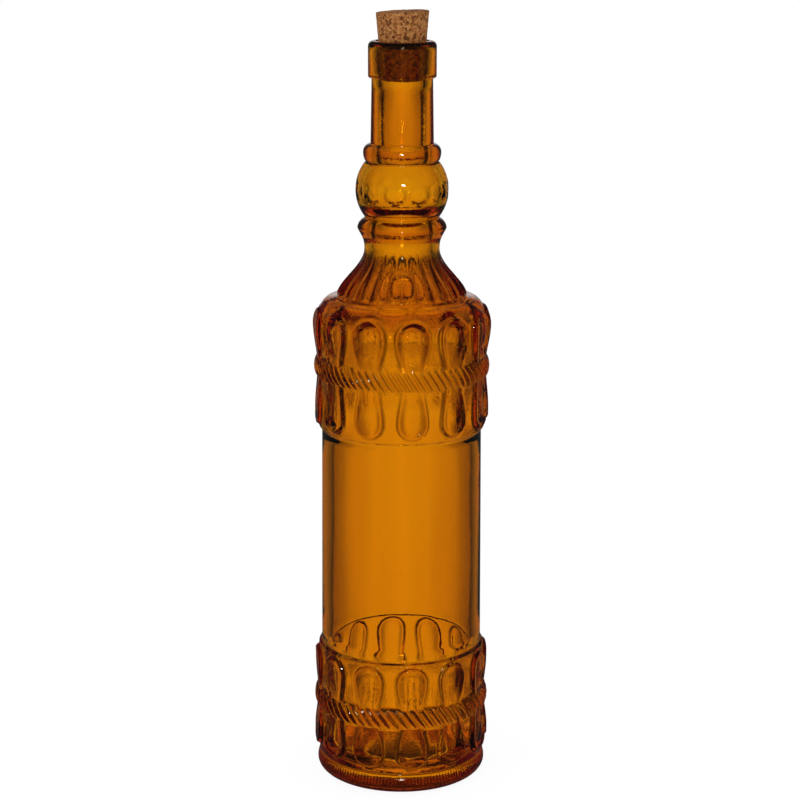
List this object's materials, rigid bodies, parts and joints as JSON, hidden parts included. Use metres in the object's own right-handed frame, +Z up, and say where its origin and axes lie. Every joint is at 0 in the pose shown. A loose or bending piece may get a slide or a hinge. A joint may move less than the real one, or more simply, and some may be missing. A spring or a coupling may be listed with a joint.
{
  "type": "carafe",
  "caption": "Tall amber pressed-glass bottle carafe with lobed bands, rope rings, fluted skirt, round bulb neck and a tapered cork stopper that lifts out.",
  "frame": {"origin": "on the bottle's axis, level with the ring that it stands on", "axes": "+Z up along the bottle, front facing -Y, +X to the right of the front"},
  "size_m": [0.077, 0.077, 0.3364],
  "materials": {
    "amber_glass": "clear amber pressed glass, glossy",
    "cork": "natural fine-grained cork, matt"
  },
  "bodies": {
    "bottle": {"glass_bottle": "amber_glass"},
    "stopper": {"cork_stopper": "cork"}
  },
  "joints": [
    {"name": "cork_lift", "type": "slide", "parent": "bottle", "child": "stopper", "axis": [0, 0, 1], "range_m": [0, 0.045]}
  ]
}
